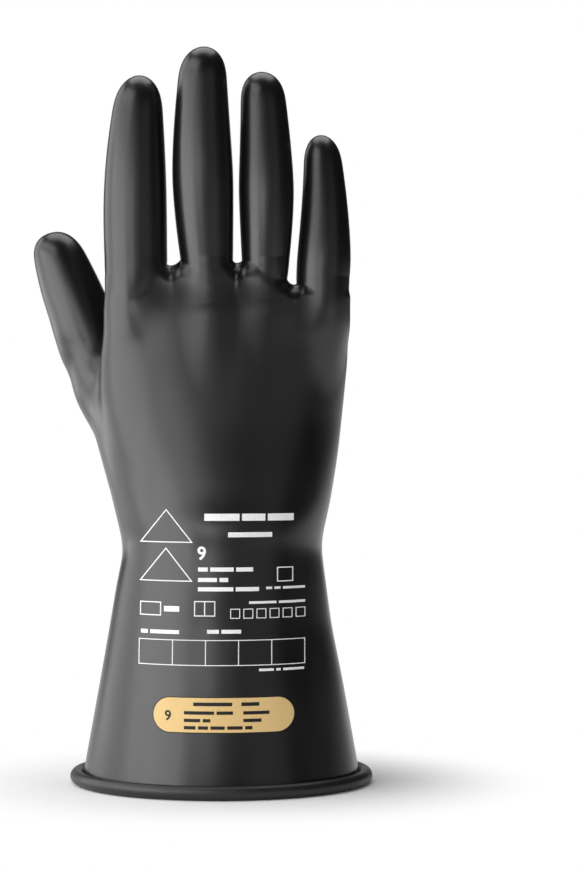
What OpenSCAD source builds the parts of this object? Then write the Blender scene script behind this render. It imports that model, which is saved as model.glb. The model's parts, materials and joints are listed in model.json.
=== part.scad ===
// Electrical insulating glove for the right hand: a thin dipped rubber skin with a rolled cuff.
// The glove stands on its cuff. +Z runs to the fingertips, the back of the hand faces -Y,
// the palm faces +Y and the thumb lies on the -X side. The origin is the centre of the cuff opening.
// The skin is one dipping on the real glove. Here it is parted where it flexes: stiff stretches
// of tube, joined by soft stretches that are just long enough for the bend next to them.

/* [Skin] */
// Thickness of the rubber
wall = 0.5; // [0.4:0.1:1.2]

/* [Cuff] */
// Inside diameter of the cuff opening
cuff_bore = 102.6; // [96:0.2:112]
// Height of the straight band inside the rolled edge
cuff_band_h = 8; // [7.5:0.5:14]
// Thickness of the rolled edge
bead_d = 5.4; // [4:0.2:6.4]
// Groove between the rolled edge and the cuff band
bead_groove = 0.3; // [0.3:0.1:1]

/* [Gauntlet and wrist] */
// Height of the stiff gauntlet above the floor
gauntlet_h = 78; // [64:1:110]
// Width of the wrist at its narrowest
wrist_w = 75.6; // [66:0.2:84]
// Depth of the wrist at its narrowest
wrist_d = 71; // [62:0.5:80]
// Furthest bend of the wrist, either way
wrist_flex = 35; // [10:1:38]

/* [Hand] */
// Height of the hand, from the soft wrist to the webs between the fingers
palm_h = 94; // [84:1:106]
// Width across the middle of the palm
palm_w = 92.6; // [86:0.2:98]
// Depth through the middle of the palm
palm_d = 50; // [42:0.5:56]
// Depth of the skin at the webs between the fingers
web_d = 5; // [3:0.5:10]
// How far the hand's middle lies to the little finger's side of the cuff's middle
hand_shift = 2.3; // [0:0.1:5]

/* [Fingers, index to little] */
// Free length of each finger stall
finger_len = [70, 81, 72, 55]; // [46:1:90]
// Widest diameter of each finger stall
finger_d = [23.7, 23.1, 20.8, 20.6]; // [18:0.2:26]
// Diameter of each finger stall at its root
root_d = [23.4, 20.2, 18, 20.4]; // [17:0.2:25]
// Diameter of each finger stall where its rounded tip starts
tip_d = [19.2, 18.8, 17.4, 14.8]; // [13:0.2:21]
// Gap between neighbouring fingers, taken between their widest diameters
side_gap = [2.3, 0.9, 1.5]; // [0.4:0.1:4]
// How much lower the little finger starts
little_drop = 7; // [4:0.5:9]
// Furthest bend at a finger's root, middle and tip
finger_flex = [60, 65, 45]; // [20:1:70]

/* [Thumb] */
// Free length of the thumb stall
thumb_len = 53; // [46:1:60]
// Widest diameter of the thumb stall
thumb_d = 25.4; // [21:0.2:27]
// Diameter of the thumb stall at its root
thumb_root_d = 25.4; // [21:0.2:27]
// Diameter of the thumb stall where its rounded tip starts
thumb_tip_d = 20.4; // [16:0.2:21]
// Angle at which the thumb leans away from the fingers
thumb_out = 21; // [14:0.5:24]
// Angle at which the thumb leans towards the palm side
thumb_fwd = 7; // [3:0.5:12]
// Furthest bend at the thumb's root and middle
thumb_flex = [35, 50]; // [15:1:60]

/* [Label] */
// Length of the printed class label on the gauntlet
label_len = 52.4; // [36:0.2:60]
// Height of the printed class label
label_h = 13; // [8:0.5:18]
// Height of the label's middle above the floor
label_z = 30; // [24:0.5:60]

/* [Hidden] */
STALLS = ["index", "middle", "ring", "little", "thumb"];
FINGER_PARTS = ["base_bend", "base_segment", "middle_bend", "middle_segment", "tip_bend", "tip_segment"];
THUMB_PARTS = ["base_bend", "base_segment", "tip_bend", "tip_segment"];

RUBBER = [0.07, 0.07, 0.075];
SOFT_RUBBER = [0.11, 0.11, 0.115];
LABEL_TAN = [0.87, 0.75, 0.52];

SIDES = 60; // facets round the gauntlet and the hand
ROUND = 48; // facets round a stall
STATION = 6; // longest straight stretch of a stall's outline
SLICE = 0.01; // thickness of the slices that the hand is lofted from
THROUGH = 1; // how far a cut runs past the wall it opens

// Soft stretches: the hinge line lies off the stall's middle, towards the palm, by this share of its radius
HINGE_SHIFT = 0.35;
// Room that stays between two stiff stretches at their furthest bend
SOFT_CLEAR = 2.5;
wrist_soft = wrist_d * tan(wrist_flex / 2) + SOFT_CLEAR;
wrist_top = gauntlet_h + wrist_soft;
web_z = wrist_top + palm_h;

// Each of the five stalls, fingers first and the thumb last
THUMB = 4;
stall_len = concat(finger_len, [thumb_len]);
swell_r = concat(finger_d, [thumb_d]) / 2;
root_r = concat(root_d, [thumb_root_d]) / 2;
tip_r = concat(tip_d, [thumb_tip_d]) / 2;
SWELL_AT = [0.2, 0.37, 0.35, 0.15, 0.12]; // where a stall is widest, as a share of its length
DOME = 1.12; // height of a rounded tip over its radius
ROOT_CURVE = 1.3; // how the stall narrows towards its root
TIP_CURVE = [1.7, 1.2, 1.05, 1, 1.7]; // and towards its tip
ROOT_RISE = 2; // height of the finger roots above the webs

// A stall's outline: narrow at its root, widest a little way up, then down to a rounded tip
function swell_s(i) = SWELL_AT[i] * stall_len[i];
function dome_s(i) = stall_len[i] - DOME * tip_r[i];
function stall_r(i, s) =
    let (to_root = (swell_s(i) - s) / swell_s(i), to_tip = (s - swell_s(i)) / (dome_s(i) - swell_s(i)))
    s < swell_s(i)
        ? swell_r[i] - (swell_r[i] - root_r[i]) * pow(to_root, ROOT_CURVE)
        : swell_r[i] - (swell_r[i] - tip_r[i]) * pow(min(to_tip, 1), TIP_CURVE[i]);

// Fingers stand side by side, index first. Their roots are as far apart as their widest diameters
// and the gap between them need, with what the two fingers lean together on the way up.
FINGER_SPLAY = [0.7, -2.4, -1.1, 0]; // sideways lean of each finger
function lean_in(i) = max(swell_s(i - 1), swell_s(i)) * (tan(FINGER_SPLAY[i - 1]) - tan(FINGER_SPLAY[i]));
function pitch(i) = swell_r[i - 1] + swell_r[i] + side_gap[i - 1] + lean_in(i);
hand_w = root_r[0] + pitch(1) + pitch(2) + pitch(3) + root_r[3];
function root_x(i) = i == 0 ? hand_shift - hand_w / 2 + root_r[0] : root_x(i - 1) + pitch(i);
ROOT_Y = [-3, -5, -4.5, -2.5]; // the roots follow the arch of the knuckles
FINGER_FWD = 4; // lean of the fingers towards the palm side
THUMB_SIDE = 16.7; // how far the thumb's root lies to the side of the index finger's
THUMB_ROOT_Y = 20.5;
THUMB_ROOT_RISE = 0.62; // height of the thumb's root, as a share of the palm's
at = [
    for (i = [0:3]) [root_x(i), ROOT_Y[i], web_z + ROOT_RISE - (i == 3 ? little_drop : 0)],
    [root_x(0) - THUMB_SIDE, THUMB_ROOT_Y, wrist_top + THUMB_ROOT_RISE * palm_h]
];
turn = [
    for (i = [0:3]) [-FINGER_FWD, FINGER_SPLAY[i], 0],
    [-thumb_fwd, -thumb_out, 0]
];

// Where each soft stretch starts, as a share of the stall's length, and its furthest bend
FINGER_BENDS_AT = [0, 0.37, 0.66];
THUMB_BENDS_AT = [0, 0.5];
function bends_at(i) = i == THUMB ? THUMB_BENDS_AT : FINGER_BENDS_AT;
function flex(i, k) = i == THUMB ? thumb_flex[k] : finger_flex[k];
function soft_start(i, k) = bends_at(i)[k] * stall_len[i];
function soft_end(i, k) =
    soft_start(i, k) + SOFT_CLEAR
    + 2 * (1 - HINGE_SHIFT) * stall_r(i, soft_start(i, k)) * tan(flex(i, k) / 2);

// Parts of a stall, from its root: soft stretch 0, stiff stretch 0, soft stretch 1 and so on
function part_start(i, p) = p % 2 == 0 ? soft_start(i, p / 2) : soft_end(i, (p - 1) / 2);
function part_end(i, p) = p % 2 == 0 ? soft_end(i, p / 2) : soft_start(i, (p + 1) / 2);
function last_part(i) = 2 * len(bends_at(i)) - 1;

// Sections of the gauntlet and the hand: [height, middle x, middle y, half width, half depth, squareness]
cuff_r = cuff_bore / 2 + wall;
cuff_row = [cuff_band_h, 0, 0, cuff_r, cuff_r, 2];
waist_row = [wrist_top - wrist_soft / 2, 0, 0, wrist_w / 2, wrist_d / 2, 2];
WRIST_FLARE = 1.3; // the skin is this much wider to every side where the gauntlet starts
HAND_FLARE = [0.3, 0.5, 1.9, -1, 0.1]; // and where the hand starts: its middle, half sizes and squareness
wrist_low_row = waist_row + [-wrist_soft / 2, 0, 0, WRIST_FLARE, WRIST_FLARE, 0];
wrist_high_row = waist_row + concat([wrist_soft / 2], HAND_FLARE);
HEEL_NARROW = 2.9; // the heel of the hand is narrower to each side than the palm
HEEL_FULL = 3.5; // and fuller to the front and the back
KNUCKLE_SLIM = 4.5; // the hand is thinner to the front and the back at its knuckles
WEB_SLIM = 10.6; // and thinner still where the webs start
PALM_Y = 2; // the palm is fuller than the back of the hand
WEB_Y = -2.2; // and the webs lie towards the back
heel_row = [wrist_top + 0.24 * palm_h, 0, PALM_Y, palm_w / 2 - HEEL_NARROW, palm_d / 2 + HEEL_FULL, 2.3];
palm_row = [wrist_top + 0.46 * palm_h, -0.2, PALM_Y, palm_w / 2, palm_d / 2, 2.5];
knuckle_row = [wrist_top + 0.67 * palm_h, hand_shift - 0.9, 0, hand_w / 2, palm_d / 2 - KNUCKLE_SLIM, 2.6];
web_row = [wrist_top + 0.82 * palm_h, hand_shift - 0.2, WEB_Y, hand_w / 2 - 0.6, palm_d / 2 - WEB_SLIM, 2.6];
THENAR_AT = [-20, 6]; // middle of the thumb's mound where it leaves the wrist
THENAR_HALF = [21.5, 24];
THENAR_RISE = 5; // height of that section above the soft wrist
WEB_SAG = 1.2; // a web hangs this much lower in its middle
WEB_LAP = 0.5; // webs run past the middle of the finger between them by this much
FOOT_SEAT = 0.6; // the foot of a finger's root lies this far inside the palm's skin
KNUCKLE_RISE = 3; // the finger roots rise this much more to the back of the hand

function power(v, e) = sign(v) * pow(abs(v), e);
function section(row, inset = 0) = [
    for (k = [0:SIDES - 1])
        let (a = 360 * (k + 0.5) / SIDES)
        [
            row[1] + (row[3] - inset) * power(cos(a), 2 / row[5]),
            row[2] + (row[4] - inset) * power(sin(a), 2 / row[5])
        ]
];
// Half depth of a section at a distance x from the cuff's middle
function depth_at(row, x) = row[4] * pow(1 - pow(abs(x - row[1]) / row[3], row[5]), 1 / row[5]);

// ---- shared modules ----

// Wall of rubber between the sections and the same sections moved in by its thickness
module skin(rows) {
    n = len(rows);
    rings = [for (row = rows) each [for (p = section(row)) [p.x, p.y, row[0]]]];
    lining = [for (row = rows) each [for (p = section(row, wall)) [p.x, p.y, row[0]]]];
    inner = n * SIDES;
    next = function(k) (k + 1) % SIDES;
    polyhedron(
        points = concat(rings, lining),
        faces = [
            for (r = [0:n - 2], k = [0:SIDES - 1])
                let (a = r * SIDES)
                each [
                    [a + k, a + SIDES + k, a + SIDES + next(k), a + next(k)],
                    [inner + a + k, inner + a + next(k), inner + a + SIDES + next(k), inner + a + SIDES + k]
                ],
            for (k = [0:SIDES - 1])
                let (top = (n - 1) * SIDES)
                each [
                    [k, next(k), inner + next(k), inner + k],
                    [top + k, inner + top + k, inner + top + next(k), top + next(k)]
                ]
        ]
    );
}

module slice(row, inset = 0) translate([0, 0, row[0]]) linear_extrude(SLICE) polygon(section(row, inset));

module in_stall(i) translate(at[i]) rotate(turn[i]) children();

// One stretch of a stall, turned from its outline; the last one carries the rounded tip
module stall_wall(i, p) {
    from = part_start(i, p);
    tip = p == last_part(i);
    to = tip ? dome_s(i) : part_end(i, p);
    steps = ceil((to - from) / STATION);
    stations = [for (k = [0:steps]) from + (to - from) * k / steps];
    dome_h = DOME * tip_r[i];
    arc = [for (a = [18:18:90]) [cos(a), sin(a)]];
    outer = [
        for (s = stations) [stall_r(i, s), s],
        if (tip) for (c = arc) [max(0, tip_r[i] * c.x), to + dome_h * c.y]
    ];
    lining = [
        for (s = stations) [stall_r(i, s) - wall, s],
        if (tip) for (c = arc) [max(0, (tip_r[i] - wall) * c.x), to + (dome_h - wall) * c.y]
    ];
    last = len(lining) - 1;
    in_stall(i) rotate_extrude($fn = ROUND)
        polygon(concat(outer, [for (k = [0:last]) lining[last - k]]));
}

// ---- gauntlet ----

// The skin's edge, rolled outwards on itself into a bead with a groove behind it
module rolled_cuff() {
    bore_r = cuff_bore / 2;
    bead_x = cuff_r + bead_groove + bead_d / 2;
    color(RUBBER) rotate_extrude($fn = 2 * ROUND) {
        translate([bead_x, bead_d / 2]) circle(d = bead_d, $fn = ROUND);
        translate([bore_r, 0]) square([wall, cuff_band_h]);
        translate([bore_r, 0]) square([bead_x - bore_r, wall]);
    }
}

module gauntlet() color(RUBBER) skin([cuff_row, wrist_low_row]);

module wrist_bend() color(SOFT_RUBBER) skin([wrist_low_row, waist_row, wrist_high_row]);

// Front of the gauntlet at a place on it, as a depth
function gauntlet_front(x, z) =
    let (share = (z - cuff_row[0]) / (wrist_low_row[0] - cuff_row[0]))
    -depth_at(cuff_row + share * (wrist_low_row - cuff_row), x);

// Printed patch with round ends that lies on the front of the gauntlet
module class_label() {
    LABEL_X = 1.9;
    LABEL_T = 0.2;
    LABEL_SEAT = 0.02;
    end_r = label_h / 2;
    straight = label_len / 2 - end_r;
    ARC = [12, 30, 50, 70, 90];
    COLUMNS = 18;
    right = [for (a = ARC) [straight + end_r * cos(a), end_r * sin(a)]];
    left = [for (a = ARC) [-straight - end_r * cos(a), end_r * sin(a)]];
    middle = [for (k = [1:COLUMNS - 1]) [-straight + 2 * straight * k / COLUMNS, end_r]];
    columns = concat(left, middle, [for (k = [len(right) - 1:-1:0]) right[k]]);
    points = [
        for (c = columns)
            let (x = LABEL_X + c.x, low = label_z - c.y, high = label_z + c.y)
            each [
                [x, gauntlet_front(x, low) - LABEL_SEAT, low],
                [x, gauntlet_front(x, high) - LABEL_SEAT, high],
                [x, gauntlet_front(x, high) - LABEL_SEAT - LABEL_T, high],
                [x, gauntlet_front(x, low) - LABEL_SEAT - LABEL_T, low]
            ]
    ];
    last = 4 * (len(columns) - 1);
    color(LABEL_TAN) polyhedron(
        points = points,
        faces = [
            [0, 1, 2], [0, 2, 3],
            [last + 3, last + 2, last + 1], [last + 3, last + 1, last],
            for (c = [0:len(columns) - 2], k = [0:3])
                let (a = 4 * c, next = (k + 1) % 4)
                each [[a + k, a + 4 + k, a + 4 + next], [a + k, a + 4 + next, a + next]]
        ]
    );
}

// ---- hand ----

// Web between a finger and the next one: it narrows from the palm up to a thin edge,
// which hangs from one finger's root over the middle of their gap to the other's
module web(i, inset) {
    top = web_z - (i == 2 ? little_drop : 0) - inset - SLICE;
    gap_at = (at[i] + at[i + 1]) / 2;
    for (f = [i, i + 1])
        hull() {
            intersection() {
                slice(web_row, inset);
                translate([min(at[f].x, gap_at.x) - (f == i ? WEB_LAP : 0), -palm_d, 0])
                    cube([abs(gap_at.x - at[f].x) + WEB_LAP, 2 * palm_d, 2 * web_z]);
            }
            translate([gap_at.x, gap_at.y, top]) cylinder(h = SLICE, d = web_d - 2 * inset, $fn = 16);
            translate([at[f].x, at[f].y, top + WEB_SAG]) cylinder(h = SLICE, d = web_d - 2 * inset, $fn = 16);
        }
}

// Root of a finger, from the knuckles to its round opening
module finger_root(i, inset) {
    half_d = depth_at(knuckle_row, at[i].x) - KNUCKLE_RISE;
    foot_y = knuckle_row[2] - KNUCKLE_RISE + FOOT_SEAT;
    foot = [knuckle_row[0], at[i].x, foot_y, root_r[i] - 2 * FOOT_SEAT, half_d, 2];
    hull() {
        slice(foot, inset);
        in_stall(i) translate([0, 0, inset > 0 ? 0 : -SLICE])
            cylinder(h = inset > 0 ? THROUGH : SLICE, r = root_r[i] - inset, $fn = ROUND);
    }
}

// Mound of the thumb, from the wrist to the thumb's round opening
module thumb_root(inset) {
    mound = [wrist_top + THENAR_RISE, THENAR_AT.x, THENAR_AT.y, THENAR_HALF.x, THENAR_HALF.y, 2];
    hull() {
        slice(mound, inset);
        in_stall(THUMB) translate([0, 0, inset > 0 ? 0 : -SLICE])
            cylinder(h = inset > 0 ? THROUGH : SLICE, r = root_r[THUMB] - inset, $fn = ROUND);
    }
}

module hand_body(inset) {
    rows = [wrist_high_row, heel_row, palm_row, knuckle_row, web_row];
    for (k = [0:3])
        hull() {
            slice(rows[k], inset);
            slice(rows[k + 1], inset);
        }
    for (i = [0:2])
        web(i, inset);
    for (i = [0:3])
        finger_root(i, inset);
    thumb_root(inset);
}

module hand() {
    color(RUBBER) difference() {
        hand_body(0);
        hand_body(wall);
        translate([0, 0, -THROUGH]) slice(wrist_high_row + [0.5, 0, 0, 0, 0, 0], wall);
    }
}

// ---- stalls ----

module stall_part(i, p) color(p % 2 == 0 ? SOFT_RUBBER : RUBBER) stall_wall(i, p);

rolled_cuff();
gauntlet();
class_label();
wrist_bend();
hand();
for (i = [0:4], parts = [i == THUMB ? THUMB_PARTS : FINGER_PARTS], p = [0:len(parts) - 1])
    stall_part(i, p);
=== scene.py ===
# %% [markdown]
# # A rubber insulating glove
# An electrician's insulating glove is one thin skin. A hand-shaped former is dipped into
# latex again and again, the skin is rolled outwards at the open end, and the whole is cured.
# So nothing on it is assembled: the palm, the fingers and the gauntlet flow into each other,
# and what an eye reads is the soft run of light along that one surface.
# The CAD frame holds the sizes and the bodies that bend. This script gives them the real skin.

# %% Load the CAD frame
import json
import math

import bmesh
import bpy
import numpy as np
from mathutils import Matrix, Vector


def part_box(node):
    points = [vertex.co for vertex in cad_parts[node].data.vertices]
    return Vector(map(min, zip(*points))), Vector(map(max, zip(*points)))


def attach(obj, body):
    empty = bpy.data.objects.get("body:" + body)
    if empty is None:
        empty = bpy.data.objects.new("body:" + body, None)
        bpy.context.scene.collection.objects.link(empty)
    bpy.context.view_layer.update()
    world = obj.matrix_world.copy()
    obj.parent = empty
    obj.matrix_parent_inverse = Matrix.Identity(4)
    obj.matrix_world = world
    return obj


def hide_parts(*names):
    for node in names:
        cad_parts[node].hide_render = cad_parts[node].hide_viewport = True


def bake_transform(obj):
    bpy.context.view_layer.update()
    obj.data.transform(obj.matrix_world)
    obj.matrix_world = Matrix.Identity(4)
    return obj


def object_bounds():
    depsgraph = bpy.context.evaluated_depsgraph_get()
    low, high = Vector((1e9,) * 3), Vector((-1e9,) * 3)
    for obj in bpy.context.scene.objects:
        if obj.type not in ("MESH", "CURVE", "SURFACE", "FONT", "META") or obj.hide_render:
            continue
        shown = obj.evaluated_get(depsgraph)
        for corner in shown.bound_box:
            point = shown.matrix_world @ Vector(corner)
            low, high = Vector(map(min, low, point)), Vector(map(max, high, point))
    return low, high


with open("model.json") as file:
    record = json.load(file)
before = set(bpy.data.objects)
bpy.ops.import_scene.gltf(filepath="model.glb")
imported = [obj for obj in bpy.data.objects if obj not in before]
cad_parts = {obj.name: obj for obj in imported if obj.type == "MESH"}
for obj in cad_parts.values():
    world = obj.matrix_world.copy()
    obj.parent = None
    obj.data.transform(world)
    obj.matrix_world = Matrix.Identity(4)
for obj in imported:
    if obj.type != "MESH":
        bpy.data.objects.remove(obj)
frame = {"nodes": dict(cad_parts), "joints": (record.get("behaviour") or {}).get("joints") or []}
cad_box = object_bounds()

import openvdb
from mathutils import Matrix, Vector

MM = 0.001
print("CAD box, mm:", [[round(v / MM, 1) for v in corner] for corner in cad_box])

# %% [markdown]
# ## Reading the stalls off the CAD
# Each finger of the CAD is a row of turned tubes on one line. Their line, length and
# radii are read from the tubes, so that the skin is made at the size the frame says.

# %% Measure each stall
FINGERS = ["index", "middle", "ring", "little"]
FINGER_PARTS = ["base_bend", "base_segment", "middle_bend", "middle_segment", "tip_bend", "tip_segment"]
THUMB_PARTS = ["base_bend", "base_segment", "tip_bend", "tip_segment"]
WIDEST_BAND = 0.02  # points this near the greatest radius count as the widest place, in mm
ROOT_BAND = 0.1  # points this near the lowest one give the root's radius, in mm


def stall_nodes(name):
    return [f"{name}_{part}" for part in (THUMB_PARTS if name == "thumb" else FINGER_PARTS)]


def node_points(node):
    mesh = frame["nodes"][node].data
    points = np.empty(len(mesh.vertices) * 3)
    mesh.vertices.foreach_get("co", points)
    return points.reshape(-1, 3) / MM


def measure_stall(name):
    """Where a stall stands, how it leans, and its radii, in mm."""
    nodes = stall_nodes(name)
    boxes = [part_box(nodes[0]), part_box(nodes[-2])]
    middles = [(np.array(lowest) + np.array(highest)) / 2 / MM for lowest, highest in boxes]
    up = (middles[1] - middles[0]) / np.linalg.norm(middles[1] - middles[0])
    side = np.cross([0, 1, 0], up)
    side /= np.linalg.norm(side)
    points = np.concatenate([node_points(node) for node in nodes]) - middles[0]
    along = points @ up
    out = np.linalg.norm(points - along[:, None] * up, axis=1)
    low, high = along.min(), along.max()
    widest = along[out > out.max() - WIDEST_BAND].mean()
    hinges = [j for j in frame["joints"] if j["name"].startswith(name + "_")]
    return {
        "name": name,
        "root": middles[0] + low * up,
        "axes": np.array([side, np.cross(up, side), up]),
        "length": high - low,
        "root_r": out[along < low + ROOT_BAND].max(),
        "wide_r": out.max(),
        "wide_at": widest - low,
        "hinges": [float((np.array(j["pos_m"]) / MM - middles[0]) @ up - low) for j in hinges],
    }


STALLS = {name: measure_stall(name) for name in FINGERS + ["thumb"]}
for name, stall in STALLS.items():
    print(name, "root", stall["root"].round(1), "length", round(stall["length"], 1), "radii",
          round(stall["root_r"], 2), round(stall["wide_r"], 2), "hinges", np.round(stall["hinges"], 1))

# %% [markdown]
# ## The skin as a field
# A dipped skin has no edges: rubber fills every corner into a soft fillet. Lofts and tubes
# joined with booleans leave seams there that never look dipped. So the skin is described
# by a field, a number at every point that is below zero inside and above it outside.
# Simple forms are written as fields, and a smooth minimum melts them into each other.

# %% Helpers for fields
def smooth_min(a, b, reach):
    """The lower of two fields, rounded where they are nearer each other than reach."""
    near = np.maximum(reach - np.abs(a - b), 0) / reach
    return np.minimum(a, b) - near * near * reach / 4


def smooth_step(x, low, high):
    """A soft rise from 0 at low to 1 at high."""
    t = np.clip((x - low) / (high - low), 0, 1)
    return t * t * (3 - 2 * t)


def bump(x, y, z, at, size, height):
    """A soft swelling of the skin, or a hollow where its height is below zero."""
    far = ((x - at[0]) / size[0]) ** 2 + ((y - at[1]) / size[1]) ** 2 + ((z - at[2]) / size[2]) ** 2
    return -height * np.exp(-far)


# %% [markdown]
# The gauntlet, the wrist and the flat of the hand are one loft of superellipse sections.
# Straight stretches between the sections are rounded by a running average, as the
# sanded former is.

# %% The gauntlet and the flat of the hand
gauntlet_low, gauntlet_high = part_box("gauntlet")
wrist_low, wrist_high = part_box("wrist_bend")
CUFF_R = (gauntlet_high.x - gauntlet_low.x) / 2 / MM
CUFF_Z = gauntlet_low.z / MM
WRIST_Z = (wrist_low.z + wrist_high.z) / 2 / MM
HAND_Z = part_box("hand")[0].z / MM
WEB_Z = STALLS["middle"]["root"][2] - 2
HAND_H = WEB_Z - HAND_Z
LOFT_START = -20  # the loft starts below the floor and ends above the webs, so its ends never show
LOFT_END = HAND_Z + 1.2 * HAND_H
# height, middle x, middle y, half width, half depth, squareness
SECTIONS = np.array([
    [LOFT_START, 0, 0, CUFF_R + 5.1, CUFF_R + 5.1, 2],
    [CUFF_Z, 0, 0, CUFF_R, CUFF_R, 2],
    [CUFF_Z + 30, 0, 0, CUFF_R - 5.4, CUFF_R - 6.2, 2],
    [WRIST_Z - 30, -0.3, 0, 42.1, 40.2, 2],
    [WRIST_Z - 13, 0, 0, 39.6, 37.6, 2],
    [WRIST_Z, 0.7, 0, 37.1, 35.2, 2],
    [WRIST_Z + 8, 0.7, 0.2, 38.9, 35.0, 2],
    [HAND_Z + 3, 0.8, 0.8, 40.6, 32.6, 2.05],
    [HAND_Z + 0.24 * HAND_H, 0.5, 1.5, 44.1, 29.0, 2.1],
    [HAND_Z + 0.46 * HAND_H, 0.1, 1.4, 46.7, 24.6, 2.15],
    [HAND_Z + 0.64 * HAND_H, 1.2, 0.4, 47.2, 20.2, 2.2],
    [HAND_Z + 0.80 * HAND_H, 2.4, -3.6, 45.5, 13.2, 2.4],
    [HAND_Z + 0.93 * HAND_H, 2.7, -5.5, 43.8, 8.0, 2.5],
    [LOFT_END, 2.6, -6.4, 43.0, 4.6, 2.5],
])
LITTLE_DROP = STALLS["middle"]["root"][2] - STALLS["little"]["root"][2]
GAPS_X = [(STALLS[a]["root"][0] + STALLS[b]["root"][0]) / 2 for a, b in zip(FINGERS, FINGERS[1:])]
LITTLE_GAP_X = 20  # the one gap beyond this x is beside the little finger, whose web is lower
WEB_DROPS = [LITTLE_DROP * (gap > LITTLE_GAP_X) for gap in GAPS_X]
WEB_RISE = 0.6  # the flat of the hand ends this far above WEB_Z
WEB_SAG = 0.8  # a web hangs this much lower in its middle
WEB_HALF = 2.5  # half the width of that sag
WEB_SIDE = 1.4  # beside a finger the web rises on to this share of that width
WEB_ROUND = 8  # the height over which the flat closes
HAND_TURN = 0.085  # the back of the hand falls back towards the little finger by this slope
TURN_FROM = -20  # the x about which it turns
TURN_LOST = 0.5  # the share of the turn that is gone again at the webs
LONGEST = 30  # the field is held below this distance from the middle, in mm
SAND = 4.0  # how far the running average reaches, in mm
SAND_STEPS = 24
STEP = 0.5  # between two rows of the table of sections
table_z = np.arange(LOFT_START, LOFT_END, STEP)
kernel = np.exp(-0.5 * (np.arange(-SAND_STEPS, SAND_STEPS + 1) * STEP / SAND) ** 2)
kernel /= kernel.sum()


def sanded(column):
    """One column of the sections at every row of the table, with its corners rounded."""
    values = np.interp(table_z, SECTIONS[:, 0], SECTIONS[:, column])
    slopes = (values[1] - values[0], values[-1] - values[-2])
    ends = np.arange(SAND_STEPS, 0, -1)
    padded = np.concatenate([values[0] - slopes[0] * ends, values, values[-1] + slopes[1] * ends[::-1]])
    return np.convolve(padded, kernel, "valid")


SANDED = [sanded(column) for column in range(1, SECTIONS.shape[1])]


def section_at(z):
    return [np.interp(z, table_z, values) for values in SANDED]


def flat_field(x, y, z):
    """The loft, closed over softly where the webs are."""
    mid_x, mid_y, half_w, half_d, square = section_at(z)
    turn = smooth_step(z, HAND_Z - 10, HAND_Z + 0.4 * HAND_H)
    turn = turn - TURN_LOST * smooth_step(z, HAND_Z + 0.65 * HAND_H, WEB_Z - 4)
    set_in = HAND_TURN * (x - TURN_FROM) * turn
    dx, dy = x - mid_x, y - mid_y - set_in
    share = (np.abs(dx / half_w) ** square + np.abs(dy / half_d) ** square) ** (1 / square)
    top = WEB_Z + WEB_RISE - LITTLE_DROP * smooth_step(x, LITTLE_GAP_X - 8, LITTLE_GAP_X + 5)
    off_gap = np.min([np.abs(x - gap) for gap in GAPS_X], axis=0)
    top = top + WEB_SAG * np.minimum(off_gap / WEB_HALF, WEB_SIDE) ** 2
    over = np.maximum(0, (z - (top - WEB_ROUND)) / WEB_ROUND)
    whole = np.sqrt(share ** 2 + over ** 2)
    reach = np.minimum(np.hypot(dx, dy) / np.maximum(share, 0.05), LONGEST)
    return reach * (whole - 1)


# %% [markdown]
# A stall is a turned form: narrower at its root, widest a little way up, and rounded at its
# tip. Below its root it runs on into the palm and sinks away, which makes the
# knuckle ridges on the back of the hand.

# %% The stalls
# radius where the tip's dome starts, the dome's height over that radius, how square the stall and
# how blunt the dome is, how the stall tapers, how deep its root runs on, how far it bows sideways,
# how far its tip comes back, how much longer it is than the turned tube, and how far it is set
# towards the palm at its root and along its length, and how much plumper than the tube it is
FORM_KEYS = ("tip_r", "dome", "square", "blunt", "taper", "run", "bow", "back", "more",
             "set_in", "curl", "plump")
STALL_FORM = {
    "index": (9.8, 1.53, 2.0, 3.0, 1.7, 30, -0.75, 0.5, 0.6, 0.0, 0.0, 0.22),
    "middle": (9.5, 1.47, 2.0, 3.0, 1.2, 38, -0.75, 1.35, 0.25, 0.0, -0.8, 0.0),
    "ring": (8.8, 1.48, 2.0, 3.0, 1.05, 28, 0.8, -0.55, 0.4, 1.2, 2.0, 0.1),
    "little": (7.6, 1.71, 2.0, 3.0, 1.0, 28, 0.85, -0.65, 0.7, 2.0, 3.5, 0.0),
    "thumb": (10.5, 1.3, 2.4, 2.9, 1.7, 30, 0.0, 0.0, 0.2, 0.0, 0.0, 0.0),
}
for name, form in STALL_FORM.items():
    stall = STALLS[name]
    stall.update(zip(FORM_KEYS, form))
    stall["length"] += stall["more"]
    stall["wide_r"] += stall["plump"]
    stall["root_r"] += stall["plump"]
thumb = STALLS["thumb"]
EASE = 0.2  # how softly a stall's taper begins
KNUCKLE_RISE = 0.10  # how fast a finger's root rises to the back of the hand
CURVE = 1.5  # how slowly a curl begins at the root, and a root's taper at the widest place
PAST_ROOT = 1.6  # the taper is followed this far down, as a share of the way to the root
PAST_DOME = 1.5  # and this far up, as a share of the way to the dome


def local(stall, x, y, z):
    """A point in a stall's own axes: sideways, towards the palm, and along the stall."""
    a, b, c = stall["axes"]
    x, y, z = x - stall["root"][0], y - stall["root"][1], z - stall["root"][2]
    return x * a[0] + y * a[1] + z * a[2], x * b[0] + y * b[1] + z * b[2], x * c[0] + y * c[1] + z * c[2]


def bent(stall, u, v, s):
    """How far a point is from the stall's middle line, which bows, curls and rises to the knuckle."""
    share = np.clip(s / stall["length"], 0, 1)
    u = u - stall["bow"] * 4 * share * (1 - share) - stall["back"] * share ** 2
    v = v - stall["set_in"] - stall["curl"] * share ** CURVE
    if stall is not thumb:
        v = v - KNUCKLE_RISE * np.minimum(s, 0)
    return np.hypot(u, v)


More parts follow.
